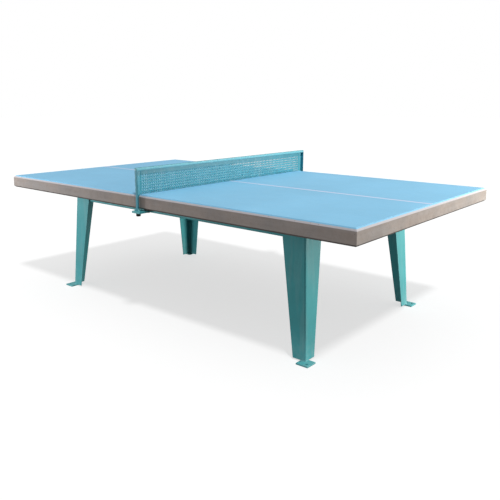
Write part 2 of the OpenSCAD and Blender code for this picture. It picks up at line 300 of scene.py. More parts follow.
def edge_wear_group():
    """Mask that is 1 on outer edges, broken up by noise."""
    t, given, result = new_group(
        "Edge wear", {"Width": 1.5 * MM, "Breakup": 60.0, "Amount": 1.0}, ["Mask"])
    soft = t.node("ShaderNodeBevel", {"Radius": given.outputs["Width"]}, samples=4)
    true = t.node("ShaderNodeNewGeometry").outputs["Normal"]
    facing = t.node("ShaderNodeVectorMath", {0: soft.outputs[0], 1: true}, operation="DOT_PRODUCT")
    bend = t.math("SUBTRACT", 1.0, facing.outputs["Value"], clamp=True)
    edge = t.times(bend, 9.0, clamp=True)
    broken = t.span(t.noise(given.outputs["Breakup"], 4.0), 0.35, 0.62)
    mask = t.times(edge, broken)
    t.join(t.times(mask, given.outputs["Amount"], clamp=True),
                     result.inputs["Mask"])


def grain_group():
    """Fine grain: a height for bump and a tone round 1 for colour."""
    t, given, result = new_group(
        "Grain", {"Scale": 600.0, "Contrast": 0.1}, ["Height", "Tone"])
    noise = t.noise(given.outputs["Scale"], 4.0)
    t.join(noise, result.inputs["Height"])
    centred = t.math("SUBTRACT", noise, 0.5)
    tone = t.math("ADD", t.times(centred, given.outputs["Contrast"]), 1.0)
    t.join(tone, result.inputs["Tone"])


def mottle_group():
    """Slow clouds: a value from 0 to 1 that changes over centimetres."""
    t, given, result = new_group("Mottle", {"Scale": 6.0, "Softness": 0.2}, ["Value"])
    noise = t.noise(given.outputs["Scale"], 3.0, roughness=0.6)
    low = t.math("SUBTRACT", 0.5, given.outputs["Softness"])
    high = t.math("ADD", 0.5, given.outputs["Softness"])
    t.join(t.span(noise, low, high), result.inputs["Value"])


def low_dust_group():
    """Mask for pale dust that gathers on the lowest part of what stands on the ground."""
    t, given, result = new_group("Low dust", {"Reach": 0.12, "Amount": 0.3}, ["Mask"])
    far = t.math("DIVIDE", t.height(), given.outputs["Reach"])
    fade = t.math("SUBTRACT", 1.0, far, clamp=True)
    broken = t.times(fade, t.span(t.noise(38.0, 4.0), 0.3, 0.7))
    t.join(t.times(broken, given.outputs["Amount"], clamp=True),
                     result.inputs["Mask"])


def pore_group():
    """Small round air pores: a mask and a depth."""
    t, given, result = new_group(
        "Pores", {"Scale": 120.0, "Size": 0.2, "Share": 0.3}, ["Mask", "Height"])
    cells = t.node(
        "ShaderNodeTexVoronoi", {"Vector": t.place(), "Scale": given.outputs["Scale"]})
    pick = t.node("ShaderNodeSeparateColor", {0: cells.outputs["Color"]})
    chosen = t.math("LESS_THAN", pick.outputs[0], given.outputs["Share"])
    size = t.times(given.outputs["Size"], t.span(pick.outputs[1], 0.0, 1.0, 0.35, 1.0))
    near = t.math("SUBTRACT", 1.0, t.math("DIVIDE", cells.outputs["Distance"], size), clamp=True)
    depth = t.times(chosen, near)
    t.join(t.span(depth, 0.0, 0.35), result.inputs["Mask"])
    t.join(t.math("SUBTRACT", 1.0, depth), result.inputs["Height"])


# --- materials


def new_material(name, inputs=None):
    """A material with a Principled BSDF, and the means to add nodes to it."""
    made = bpy.data.materials.new(name)
    made.use_nodes = True
    made.node_tree.nodes.clear()
    t = NodeTree(made.node_tree)
    shader = t.node("ShaderNodeBsdfPrincipled", inputs)
    output = t.node("ShaderNodeOutputMaterial")
    t.join(shader.outputs[0], output.inputs[0])
    return made, t, shader


def rgba(colour, factor=1.0):
    return tuple(min(1.0, c * factor) for c in colour) + (1.0,)


def surface(t, shader, colour, roughness, relief, depth, strength):
    """Gives a shader its colour and roughness, and the bumps of its relief."""
    t.feed(shader, {"Base Color": colour, "Roughness": roughness})
    bumps = {"Height": relief, "Distance": depth, "Strength": strength}
    t.join(t.node("ShaderNodeBump", bumps).outputs[0], shader.inputs["Normal"])


def concrete_material(colours):
    """Cast concrete: clouds, faint casting bands, sand grain and air pores; rubbed pale edges;
    painted light on the top bevel and painted shade along the underside.
    """
    made, t, shader = new_material("Cast concrete", {"Specular IOR Level": 0.35})
    clouds = t.mottle(5.0, 0.17)
    patches = t.mottle(34.0, 0.2)
    bands = t.noise(9.0, 3.0, stretch=(0.5, 0.5, 7.0))
    sand = t.grain(900.0, 0.5)
    pores = t.group("Pores", {"Scale": 95.0, "Size": 0.22, "Share": 0.22})
    edges = t.wear(4.5 * MM, 45.0, 0.75)
    warm = (colours.concrete[0] * 1.06, colours.concrete[1] * 1.0, colours.concrete[2] * 0.95)
    cool = (colours.concrete[0] * 0.93, colours.concrete[1] * 0.97, colours.concrete[2] * 1.0)
    colour = t.mix(clouds, rgba(cool, 0.90), rgba(warm, 1.06))
    colour = t.mix(t.span(patches, 0.0, 1.0, 0.0, 0.45), colour, rgba(warm, 0.76))
    colour = t.mix(t.span(bands, 0.42, 0.62, 0.0, 0.35), colour, rgba(cool, 1.16))
    colour = t.toned(colour, sand["Tone"])
    colour = t.mix(t.times(edges, 0.6), colour, rgba(cool, 1.45))
    height = t.height()
    slab_low, slab_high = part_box("concrete_slab")
    # Painted light: the band round the top bevel is made pale for the light that the upward-facing
    # bevel catches.
    painted_bevel_light = t.span(height, *(slab_high.z - down for down in BEVEL_LIGHT_BAND))
    pale = t.mix(patches, rgba(colours.painted_bevel_light, 0.95), rgba(colours.painted_bevel_light, 1.05))
    colour = t.mix(painted_bevel_light, colour, pale)
    ragged = t.math("ADD", height, t.span(t.noise(55.0, 4.0), 0.3, 0.7, -0.4 * MM, 0.4 * MM))
    coated = t.span(ragged, *(slab_high.z - down for down in COATED_BAND))
    colour = t.mix(coated, colour, rgba(colours.court, 0.80))
    # Painted shade: the lowest band of the slab's sides, round its underside edge, is darkened for
    # the shade that falls there.
    underside_shade = t.span(height, *(slab_low.z + up for up in UNDERSIDE_SHADE_BAND), 0.75, 0.0)
    colour = t.mix(underside_shade, colour, rgba(warm, 0.25))
    colour = t.mix(t.times(pores["Mask"], 0.75), colour, rgba(warm, 0.42))
    relief = t.math("ADD", t.times(sand["Height"], 0.25), pores["Height"])
    surface(t, shader, colour, t.span(patches, 0.0, 1.0, 0.74, 0.9), relief, 0.5 * MM, 0.5)
    return made


def court_material(colours):
    """Satin coating with a very fine grit, slightly uneven in gloss and tone."""
    made, t, shader = new_material("Blue court coating", {"Specular IOR Level": 0.4})
    clouds = t.mottle(2.2, 0.25)
    grit = t.grain(420.0, 0.34)
    scuffs = t.noise(70.0, 5.0, stretch=(0.25, 1.0, 1.0))
    colour = t.mix(clouds, rgba(colours.court, 0.93), rgba(colours.court, 1.05))
    colour = t.toned(colour, grit["Tone"])
    colour = t.mix(t.span(scuffs, 0.56, 0.72, 0.0, 0.12), colour, (0.62, 0.74, 0.82, 1.0))
    rough = t.span(scuffs, 0.3, 0.7, 0.46, 0.60)
    surface(t, shader, colour, rough, grit["Height"], 0.12 * MM, 0.6)
    return made


def line_material(colours):
    """White line paint, worn a little thin."""
    made, t, shader = new_material("White line paint")
    grit = t.grain(700.0, 0.1)
    thin = t.span(t.noise(120.0, 4.0), 0.55, 0.75, 0.0, 0.2)
    colour = t.mix(thin, rgba(colours.line), rgba(colours.court, 1.2))
    rough = t.span(grit["Height"], 0.3, 0.7, 0.5, 0.62)
    surface(t, shader, colour, rough, grit["Height"], 0.1 * MM, 0.5)
    return made


def powder_coat_material(name, colour, dust, lip_light_band=(0.0, 0.0)):
    """Satin powder coat: orange peel, rubbed edges, dust near the ground, and painted light: a
    paler tone over the given range of heights, where the lip catches the light."""
    made, t, shader = new_material(
        name, {"Specular IOR Level": 0.35, "Coat Weight": 0.05, "Coat Roughness": 0.3})
    peel = t.grain(420.0, 0.05)
    fine = t.grain(1600.0, 0.22)
    clouds = t.mottle(7.0, 0.25)
    edges = t.wear(1.6 * MM, 90.0, 0.9)
    low = t.group("Low dust", {"Reach": 0.16, "Amount": dust})["Mask"]
    pale = tuple(0.6 * c + 0.4 * 0.62 for c in colour)
    streaks = t.noise(26.0, 4.0, stretch=(1.0, 1.0, 0.12))
    body = t.mix(clouds, rgba(colour, 0.90), rgba(colour, 1.08))
    body = t.mix(t.span(streaks, 0.5, 0.72, 0.0, 0.22), body, rgba(pale, 0.9))
    body = t.toned(body, fine["Tone"])
    body = t.mix(t.times(edges, 0.7), body, rgba(pale))
    body = t.mix(low, body, (0.50, 0.50, 0.47, 1.0))
    if lip_light_band[1] > lip_light_band[0]:
        # Painted light: the coat is lifted paler over this band of heights, for the light on the
        # net's lip.
        painted_lip_light = t.span(t.height(), *lip_light_band, 0.0, 0.30)
        body = t.mix(painted_lip_light, body, (0.34, 0.72, 0.78, 1.0))
    rough = t.math("ADD", t.span(peel["Height"], 0.3, 0.7, 0.42, 0.54),
                   t.times(low, 0.4))
    relief = t.math("ADD", peel["Height"], t.times(fine["Height"], 0.25))
    surface(t, shader, body, rough, relief, 0.09 * MM, 0.6)
    return made


def zinc_material(colours):
    """Zinc-plated steel with fine turning marks and duller patches."""
    made, t, shader = new_material("Zinc-plated steel", {"Metallic": 1.0})
    marks = t.noise(900.0, 3.0, stretch=(1.0, 1.0, 0.08))
    patches = t.mottle(90.0, 0.25)
    edges = t.wear(0.6 * MM, 200.0, 0.6)
    colour = t.mix(patches, rgba(colours.zinc, 0.82), rgba(colours.zinc, 1.1))
    colour = t.mix(t.times(edges, 0.5), colour, (0.8, 0.8, 0.78, 1.0))
    rough = t.span(patches, 0.0, 1.0, 0.42, 0.28)
    surface(t, shader, colour, rough, marks, 0.03 * MM, 0.5)
    return made


def knob_material(colours):
    """Black moulded plastic with a fine spark-eroded grain, shinier where hands touch it."""
    made, t, shader = new_material("Black moulded plastic")
    grain = t.grain(1500.0, 0.2)
    edges = t.wear(1.0 * MM, 150.0, 0.8)
    body = t.mix(grain["Height"], rgba(colours.knob, 0.8), rgba(colours.knob, 1.5))
    body = t.mix(t.times(edges, 0.4), body, (0.06, 0.06, 0.06, 1.0))
    rough = t.math("SUBTRACT", t.span(grain["Height"], 0.3, 0.7, 0.42, 0.55),
                   t.times(edges, 0.15))
    surface(t, shader, body, rough, grain["Height"], 0.06 * MM, 0.6)
    return made


def bar_material():
    """Mill scale of plain reinforcing bar."""
    made, t, shader = new_material("Reinforcing bar", {"Metallic": 0.5})
    rust = t.mottle(60.0, 0.2)
    grain = t.grain(900.0, 0.3)
    colour = t.mix(rust, (0.10, 0.09, 0.085, 1.0), (0.20, 0.10, 0.055, 1.0))
    rough = t.span(rust, 0.0, 1.0, 0.5, 0.85)
    surface(t, shader, colour, rough, grain["Height"], 0.2 * MM, 0.6)
    return made


def floor_material():
    """Pale floor. Seen by the camera it is lifted to near white, so that it meets the backdrop."""
    made, t, shader = new_material(
        "Pale floor", {"Roughness": 0.9, "Specular IOR Level": 0.0})
    grain = t.grain(300.0, 0.02)
    tone = t.mix(grain["Height"], (0.43, 0.43, 0.43, 1.0), (0.45, 0.45, 0.45, 1.0))
    t.join(tone, shader.inputs["Base Color"])
    lift = t.node("ShaderNodeEmission", {"Color": WHITE, "Strength": 0.66})
    both = t.node("ShaderNodeAddShader", {0: shader.outputs[0], 1: lift.outputs[0]})
    seen = t.node("ShaderNodeLightPath").outputs["Is Camera Ray"]
    chosen = t.node("ShaderNodeMixShader", {0: seen, 1: shader.outputs[0], 2: both.outputs[0]})
    output = next(n for n in t.tree.nodes if n.type == "OUTPUT_MATERIAL")
    t.join(chosen.outputs[0], output.inputs[0])
    return made


MATERIALS = {}


def make_materials(colours):
    """Builds the shared groups and every material once, under the record's slot names."""
    for build in (edge_wear_group, grain_group, mottle_group, low_dust_group, pore_group):
        build()
    MATERIALS["concrete"] = concrete_material(colours)
    MATERIALS["court_coating"] = court_material(colours)
    MATERIALS["line_paint"] = line_material(colours)
    MATERIALS["teal_powder_coat"] = powder_coat_material("Teal powder coat", colours.steel, 0.18)
    net_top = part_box("net_panel")[1].z
    # The net's coat is a darker teal as painted shade on its panel, with painted light along its
    # lip below the top.
    MATERIALS["net_powder_coat"] = powder_coat_material(
        "Net powder coat", colours.net, 0.0, tuple(net_top - down for down in LIP_LIGHT_BAND))
    MATERIALS["zinc_steel"] = zinc_material(colours)
    MATERIALS["black_knob_plastic"] = knob_material(colours)
    MATERIALS["reinforcing_steel"] = bar_material()
    MATERIALS["floor"] = floor_material()


# --- mesh helpers


def slot_of(node):
    """The record's material slot of a CAD node."""
    rows = frame["record"]["subparts"]
    return next(row["material_slot"] for row in rows if row["node"] == node)


def body_of(node):
    """The body that a CAD node belongs to."""
    bodies = frame["record"]["behaviour"]["bodies"]
    return next(body for body, members in bodies.items() if node in members)


def keep_node(node):
    """Gives a CAD node that keeps its own shape its finish."""
    mesh = NODES[node].data
    mesh.materials.clear()
    mesh.materials.append(MATERIALS[slot_of(node)])


def add_piece(bm, node, added="", smooth=35.0):
    """A finished piece from a bmesh, in the node's place or, under a name of its own, added to
    it. It rides with the node's body and takes its slot."""
    name = added or node + "_finished"
    bmesh.ops.remove_doubles(bm, verts=bm.verts, dist=MERGE)
    mesh = bpy.data.meshes.new(name)
    for face in bm.faces:
        face.smooth = True
    bm.to_mesh(mesh)
    bm.free()
    mesh.set_sharp_from_angle(angle=math.radians(smooth))
    mesh.materials.append(MATERIALS[slot_of(node)])
    piece = bpy.data.objects.new(name, mesh)
    bpy.context.scene.collection.objects.link(piece)
    even = piece.modifiers.new("Even shading", "WEIGHTED_NORMAL")
    even.keep_sharp = True
    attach(piece, body_of(node))
    if not added:
        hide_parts(node)
    return piece


def round_edges(bm, radius, least=30.0):
    """Rounds every edge that turns by more than the given angle."""
    turning = [
        e for e in bm.edges
        if len(e.link_faces) == 2 and e.calc_face_angle() > math.radians(least)
    ]
    bmesh.ops.bevel(
        bm, geom=turning, offset=radius, offset_type="OFFSET", segments=2,
        profile=0.5, affect="EDGES", clamp_overlap=True)


def welded_copy(node):
    """The CAD node's mesh with its split corners joined and its flat faces whole again."""
    bm = bmesh.new()
    bm.from_mesh(NODES[node].data)
    bmesh.ops.remove_doubles(bm, verts=bm.verts, dist=MERGE)
    bmesh.ops.dissolve_limit(
        bm, angle_limit=math.radians(0.5), verts=bm.verts, edges=bm.edges,
        use_dissolve_boundaries=False)
    return bm


def rounded_piece(node, radius):
    """The CAD node's shape with its edges rounded."""
    bm = welded_copy(node)
    round_edges(bm, radius)
    return add_piece(bm, node)


def parts_of(node):
    """(lowest corner, highest corner) of each separate solid in a CAD node."""
    bm = bmesh.new()
    bm.from_mesh(NODES[node].data)
    bmesh.ops.remove_doubles(bm, verts=bm.verts, dist=MERGE)
    left = set(bm.verts)
    boxes = []
    while left:
        front = [left.pop()]
        found = list(front)
        while front:
            for edge in front.pop().link_edges:
                for vert in edge.verts:
                    if vert in left:
                        left.remove(vert)
                        front.append(vert)
                        found.append(vert)
        low = Vector(min(v.co[i] for v in found) for i in range(3))
        high = Vector(max(v.co[i] for v in found) for i in range(3))
        boxes.append((low, high))
    bm.free()
    return sorted(boxes, key=lambda b: tuple(b[0]))


def skin(bm, rings, closed=True):
    """Faces between neighbouring rings of vertices. closed joins the last vertex to the first."""
    for one, two in zip(rings, rings[1:]):
        count = len(one)
        for i in range(count if closed else count - 1):
            j = (i + 1) % count
            bm.faces.new((one[i], one[j], two[j], two[i]))


def ring_of(bm, points):
    return [bm.verts.new(p) for p in points]


def arc(centre, radius, start, end, steps):
    """Points along an arc in a plane, angles in degrees."""
    turns = [math.radians(start + (end - start) * i / steps) for i in range(steps + 1)]
    return [(centre[0] + radius * math.cos(a), centre[1] + radius * math.sin(a)) for a in turns]


def circle(bm, centre, steps, at):
    """A ring of vertices round the vertical through centre. at gives the radius and the height
    of each from its place in the ring and its angle."""
    points = []
    for i in range(steps):
        angle = 2 * math.pi * i / steps
        r, z = at(i, angle)
        points.append((centre.x + r * math.cos(angle), centre.y + r * math.sin(angle), z))
    return ring_of(bm, points)


def turned(bm, centre, profile, steps=40, turn=lambda angle, r: r):
    """Rings of a turned solid: profile is (radius, height) pairs round its section."""
    return [circle(bm, centre, steps, lambda i, a: (turn(a, r), z)) for r, z in profile]


def capped(bm, rings):
    """Skins the rings and closes both ends with flat faces."""
    skin(bm, rings)
    bm.faces.new(list(reversed(rings[0])))
    bm.faces.new(rings[-1])
    bmesh.ops.recalc_face_normals(bm, faces=bm.faces)


# --- fasteners


def hex_reach(angle, across):
    """Distance from the middle of a hexagon to its side at that angle."""
    sector = math.pi / 3
    return across / 2 / math.cos((angle + sector / 2) % sector - sector / 2)


def hexagon_rings(bm, centre, across, low, high, inner):
    """Rings of a hexagon head or nut with its corners turned off, from low to high."""
    crown = across * HEX_CROWN

    def corner(height, sign):
        def point(i, angle):
            reach = hex_reach(angle, across)
            return reach, height + sign * max(0.0, reach - crown) * HEX_SLOPE
        return point

    def flat(radius, height):
        return lambda i, angle: (radius, height)

    stations = (
        flat(inner, low), flat(crown, low), corner(low, 1),
        corner(high, -1), flat(crown, high), flat(inner, high),
    )
    return [circle(bm, centre, HEX_STEPS, station) for station in stations]


def bolt_into(bm, low, high, across, shank, head):
    """A hexagon bolt standing head down between the two heights."""
    centre = (low + high) / 2
    seat = low.z + head
    rim = seat - 0.4 * MM
    capped(bm, hexagon_rings(bm, centre, across, low.z, rim, across * 0.16))
    collar = [(across * 0.47, rim), (across * 0.47, seat)]
    capped(bm, turned(bm, centre, collar))
    tip = high.z
    stem = [(shank / 2, seat), (shank / 2, tip - 1 * MM), (shank / 2 - 1 * MM, tip)]
    capped(bm, turned(bm, centre, stem))


def build_bolts(node, across, shank, head):
    bm = bmesh.new()
    for low, high in parts_of(node):
        bolt_into(bm, low, high, across, shank, head)
    add_piece(bm, node)


def build_nuts(node, across, bore):
    bm = bmesh.new()
    for low, high in parts_of(node):
        centre = (low + high) / 2
        rings = hexagon_rings(bm, centre, across, low.z, high.z, bore / 2)
        skin(bm, rings + rings[:1])
    bmesh.ops.recalc_face_normals(bm, faces=bm.faces)
    add_piece(bm, node)


def build_rings(node, hole, edge):
    """Washers and spacers: flat rings with rounded rims."""
    bm = bmesh.new()
    for low, high in parts_of(node):
        centre = (low + high) / 2
        outer, inner = (high.x - low.x) / 2, hole / 2
        section = [
            (inner, low.z + edge), (inner + edge, low.z), (outer - edge, low.z),
            (outer, low.z + edge), (outer, high.z - edge), (outer - edge, high.z),
            (inner + edge, high.z), (inner, high.z - edge),
        ]
        rings = turned(bm, centre, section)
        skin(bm, rings + rings[:1])
    bmesh.ops.recalc_face_normals(bm, faces=bm.faces)
    add_piece(bm, node)


def build_stud(node, pitch):
    """A threaded stud: each ring is shifted round by the thread's helix."""
    low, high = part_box(node)
    centre = (low + high) / 2
    crest = (high.x - low.x) / 2
    depth, steps, per_turn = 0.6 * pitch, 28, 6
    count = round((high.z - low.z) / pitch * per_turn)
    bm = bmesh.new()
    rings = []
    for k in range(count + 1):
        z = low.z + (high.z - low.z) * k / count
        end = min(k, count - k) / per_turn

        def thread(i, angle):
            share = ((z - low.z) / pitch - i / steps) % 1.0
            return crest - depth * abs(2 * share - 1) - max(0.0, 1 - end) * 0.6 * MM, z

        rings.append(circle(bm, centre, steps, thread))
    capped(bm, rings)
    add_piece(bm, node, smooth=50.0)


# --- sheet pieces


def leg_section(node, corner, at_top):
    """Ridge and leaf width of a leg at one end, measured on the CAD node as if at +X, +Y."""
    sx, sy = corner
    low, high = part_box(node)
    height = high.z if at_top else low.z
    ends = [v.co for v in NODES[node].data.vertices if abs(v.co.z - height) < 0.01 * MM]
    ridge_x = max(v.x * sx for v in ends)
    ridge_y = max(v.y * sy for v in ends)
    width = ridge_x - min(v.x * sx for v in ends)
    return ridge_x, ridge_y, width, height


def angle_outline(ridge_x, ridge_y, width, sheet, fold):
    """Closed outline of a folded angle seen from above, with its ridge at +X, +Y."""
    x, y = ridge_x, ridge_y
    middle = (x - fold, y - fold)
    outside = [(x - width, y)] + arc(middle, fold, 90, 0, 8) + [(x, y - width)]
    inside = arc(middle, fold - sheet, 0, 90, 8)
    return outside + [(x - sheet, y - width)] + inside + [(x - width, y - sheet)]


def build_leg(name, corner, shapes):
    """A leg folded from one tapered sheet."""
    node = "leg_" + name
    sx, sy = corner
    bottom = leg_section(node, corner, False)
    top = leg_section(node, corner, True)
    levels = 8
    bm = bmesh.new()
    rings = []
    for i in range(levels + 1):
        x, y, width, z = (b + (t - b) * i / levels for b, t in zip(bottom, top))
        outline = angle_outline(x, y, width, shapes.leg_sheet, shapes.leg_fold)
        rings.append(ring_of(bm, [(px * sx, py * sy, z) for px, py in outline]))
    capped(bm, rings)
    round_edges(bm, shapes.sheet_edge, least=50.0)
    add_piece(bm, node)


def bead_along(bm, path, radius, step):
    """A rippled weld bead along a line of points on a flat plate."""
    spots, tangents = [], []
    for a, b in zip(path, path[1:]):
        count = max(1, round((b - a).length / step))
        for i in range(count):
            spots.append(a + (b - a) * i / count)
            tangents.append((b - a).normalized())
    spots.append(path[-1])
    tangents.append((path[-1] - path[-2]).normalized())
    rings = []
    for i, (spot, along) in enumerate(zip(spots, tangents)):
        side = Vector((along.y, -along.x, 0.0))
        end = min(i, len(spots) - 1 - i)
        size = radius * (0.86 + 0.14 * math.sin(i * math.pi / 2)) * min(1.0, 0.45 + 0.25 * end)
        around = [
            spot + side * size * math.cos(t) + Vector((0, 0, size * math.sin(t)))
            for t in (math.pi * 2 * k / 12 for k in range(12))
        ]
        rings.append(ring_of(bm, [(p.x, p.y, max(p.z, path[0].z - 0.5 * MM)) for p in around]))
    capped(bm, rings)


def build_foot_weld(name, corner, shapes):
    """The bead where the fold of a leg stands on its foot plate."""
    sx, sy = corner
    plate = "foot_plate_" + name
    low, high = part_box(plate)
    inner_x = min(low.x * sx, high.x * sx) + 4 * MM
    inner_y = min(low.y * sy, high.y * sy) + 4 * MM
    x, y, _, z = leg_section("leg_" + name, corner, False)
    fold = shapes.leg_fold
    corner_points = arc((x - fold, y - fold), fold, 90, 0, 8)
    flat_path = [(inner_x, y)] + corner_points + [(x, inner_y)]
    path = [Vector((px * sx, py * sy, z)) for px, py in flat_path]
    bm = bmesh.new()
    bead_along(bm, path, shapes.bead, 1.6 * MM)
    add_piece(bm, plate, "foot_weld_" + name, smooth=70.0)


def channel_outline(depth, height, sheet, fold):
    """Closed outline of a channel with its back at 0 and its upper face at 0, open to -first."""
    inner = fold - sheet
    top = arc((-fold, -fold), fold, 90, 0, 6)
    low = arc((-fold, -height + fold), fold, 0, -90, 6)
    low_in = arc((-fold, -height + fold), inner, -90, 0, 6)
    top_in = arc((-fold, -fold), inner, 0, 90, 6)
    outside = [(-depth, 0.0)] + top + low + [(-depth, -height)]
    return outside + [(-depth, -height + sheet)] + low_in + top_in + [(-depth, -sheet)]


def build_rail(node, shapes):
    """An underframe rail folded into a channel that opens inwards."""
    low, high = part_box(node)
    along_x = high.x - low.x > high.y - low.y
    across = (low.y, high.y) if along_x else (low.x, high.x)
    side = 1 if sum(across) > 0 else -1
    back = max(abs(across[0]), abs(across[1]))
    outline = channel_outline(
        across[1] - across[0], high.z - low.z, shapes.rail_sheet, shapes.rail_fold)
    stations = (low.x, high.x) if along_x else (low.y, high.y)
    count = 10
    bm = bmesh.new()
    rings = []
    for i in range(count + 1):
        along = stations[0] + (stations[1] - stations[0]) * i / count
        points = []
        for u, w in outline:
            out = side * (back + u)
            points.append((along, out, high.z + w) if along_x else (out, along, high.z + w))
        rings.append(ring_of(bm, points))
    capped(bm, rings)
    round_edges(bm, shapes.sheet_edge, least=50.0)
    add_piece(bm, node)


def thicken(piece, sheet):
    """Gives an open sheet its thickness, inwards, ahead of its shading."""
    solid = piece.modifiers.new("Sheet", "SOLIDIFY")
    solid.thickness = sheet
    solid.offset = -1.0
    solid.use_even_offset = True
    piece.modifiers.move(len(piece.modifiers) - 1, 0)


def face_out(bm, outward):
    """Turns an open sheet's faces to point outward at its first face."""
    bmesh.ops.recalc_face_normals(bm, faces=bm.faces)
    bm.faces.ensure_lookup_table()
    if bm.faces[0].normal.dot(outward) < 0:
        bmesh.ops.reverse_faces(bm, faces=bm.faces)


def hole_cell(bm, centre, pitch, radius, x):
    """A square of sheet with a round hole, in 16 four-sided faces."""
    steps, half = 16, pitch / 2
    rim, square = [], []
    for i in range(steps):
        a = 2 * math.pi * i / steps
        c, s = math.cos(a), math.sin(a)
        reach = half / max(abs(c), abs(s))
        rim.append(bm.verts.new((x, centre[0] + radius * c, centre[1] + radius * s)))
        square.append(bm.verts.new((x, centre[0] + reach * c, centre[1] + reach * s)))
    skin(bm, [rim, square])


def cell_step(pitch):
    """Distance between the middle vertex of a cell's side and the next one."""
    return math.tan(math.radians(22.5)) * pitch / 2


def net_marks(shapes, half):
    """Y positions of the vertex columns over the field of holes, out to its two edges."""
    pitch = shapes.hole_pitch
    count = 2 * math.floor((half - shapes.hole_width) / pitch) + 1
    side = cell_step(pitch)
    marks = []
    for i in range(count):
        middle = (i - (count - 1) / 2) * pitch
        marks += [middle - pitch / 2, middle - side, middle, middle + side]
    return count, marks + [count * pitch / 2]


def build_net(shapes):
    """The perforated sheet, with its upper edge folded forwards and turned down."""
    node = "net_panel"
    low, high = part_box(node)
    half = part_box("net_post_back")[0].y
    pitch, fold = shapes.hole_pitch, shapes.net_fold
    count, marks = net_marks(shapes, half)
    bm = bmesh.new()
    for row in range(shapes.hole_rows):
        for i in range(count):
            centre = ((i - (count - 1) / 2) * pitch, TOP_Z + shapes.first_row + row * pitch)
            hole_cell(bm, centre, pitch, shapes.hole_width / 2, low.x)
    field_low = TOP_Z + shapes.first_row - pitch / 2
    field_high = field_low + shapes.hole_rows * pitch
    inside = [-half] + marks + [half]

    def strip(levels, ys):
        rings = [ring_of(bm, [(x, y, z) for y in ys]) for x, z in levels]
        skin(bm, rings, closed=False)

    if field_low > low.z:
        strip([(low.x, low.z), (low.x, field_low)], inside)
    over = arc((low.x + fold, high.z - fold), fold, 180, 90, 5)
    down = arc((high.x - fold, high.z - fold), fold, 90, 0, 5)
    strip([(low.x, field_high), over[0]], inside)
    side = cell_step(pitch)
    heights = [field_low]
    for row in range(shapes.hole_rows):
        middle = TOP_Z + shapes.first_row + row * pitch
        heights += [middle - side, middle, middle + side, middle + pitch / 2]
    for sign in (-1, 1):
        edge = sign * count * pitch / 2
        rings = [ring_of(bm, [(low.x, y, z) for z in heights]) for y in (edge, sign * half)]
        skin(bm, rings, closed=False)
    reach = high.y
    lip_reach = reach - shapes.net_sheet - 0.5 * MM
    outside = [-reach, -lip_reach] + inside + [lip_reach, reach]
    strip(over + down, outside)
    strip([down[-1], (high.x, high.z - shapes.net_lip)], outside[1:-1])
    for vert in bm.verts:
        vert.co.z = max(vert.co.z, low.z)
    bmesh.ops.remove_doubles(bm, verts=bm.verts, dist=MERGE)
    face_out(bm, Vector((-1, 0, 0)))
    thicken(add_piece(bm, node), shapes.net_sheet)


def outermost(node):
    """How far a node reaches from the middle of the table, along the net."""
    low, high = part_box(node)
    return max(abs(low.y), abs(high.y))


def build_net_post(name, side, shapes):
    """A post: its back sheet passes down outside the slab, and its outer edge is folded."""
    node = "net_post_" + name
    low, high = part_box(node)
    inner_top = min(abs(low.y), abs(high.y))
    outer_top = outermost(node)
    inner_low = outermost("concrete_slab") + POST_GAP
    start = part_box("net_panel")[0].z
    outer_low = outermost("net_foot_" + name) - POST_INSET
    fold = shapes.net_fold
    slant = inner_low - inner_top
    levels = [
        (high.z, inner_top, outer_top), (start, inner_top, outer_low),
        (TOP_Z, inner_top + (start - TOP_Z), outer_low),
        (start - slant, inner_low, outer_low), (low.z, inner_low, outer_low),
    ]
    bm = bmesh.new()
    rings = []
    for z, inner, outer in levels:
        bend = arc((low.x + fold, outer - fold), fold, 180, 90, 5)
        web_z = high.z - 1 * MM if z == high.z else z
        points = [(low.x, side * inner, web_z)]
        points += [(x, side * y, web_z if i == 0 else z) for i, (x, y) in enumerate(bend)]
        points.append((high.x, side * outer, z))
        rings.append(ring_of(bm, points))
    skin(bm, rings, closed=False)
    face_out(bm, Vector((-1, 0, 0)))
    thicken(add_piece(bm, node), shapes.net_sheet)


def build_post_weld(name, side, shapes):
    """Beads where a post stands on its foot."""
    node = "net_foot_" + name
    post_low, post_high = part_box("net_post_" + name)
    inner = outermost("concrete_slab") + 4 * MM
    outer = outermost(node) - POST_INSET
    z = post_low.z
    bm = bmesh.new()
    lines = [
        [(post_low.x, inner), (post_low.x, outer - 6 * MM)],
        [(post_low.x + 4 * MM, outer), (post_high.x - 2 * MM, outer)],
    ]
    for line in lines:
        path = [Vector((x, side * y, z)) for x, y in line]
        bead_along(bm, path, shapes.bead * 0.7, 1.4 * MM)
    add_piece(bm, node, "net_foot_weld_" + name, smooth=70.0)


def build_knob(name):
    """A round fluted knob with a rounded lower edge and a shallow dish underneath."""
    node = "knob_" + name
    low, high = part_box(node)
    centre = (low + high) / 2
    radius = max(math.hypot(v.co.x - centre.x, v.co.y - centre.y)
                 for v in NODES[node].data.vertices)
    round_low, edge, flutes, depth = 4.5 * MM, 0.8 * MM, 8, 1.4 * MM
    section = [(1.5 * MM, low.z + 1.1 * MM), (5.0 * MM, low.z + 0.9 * MM), (6.2 * MM, low.z)]
    bend = arc((radius - round_low, low.z + round_low), round_low, -90, 0, 8)
    top = arc((radius - edge, high.z - edge), edge, 0, 90, 4)
    section += bend + [(radius, (low.z + high.z) / 2)] + top + [(6.0 * MM, high.z)]

    def fluted(angle, r):
        share = max(0.0, (r - radius + round_low) / round_low)
        return r - depth * share * max(0.0, math.cos(flutes * angle)) ** 1.6

    bm = bmesh.new()
    capped(bm, turned(bm, centre, section, steps=128, turn=fluted))
    add_piece(bm, node, smooth=60.0)


# --- operators


class TableOperator:
    """What all the table's operators share."""

    bl_options = {"REGISTER", "UNDO"}

    def execute(self, context):
        self.build(context.scene)
        return {"FINISHED"}


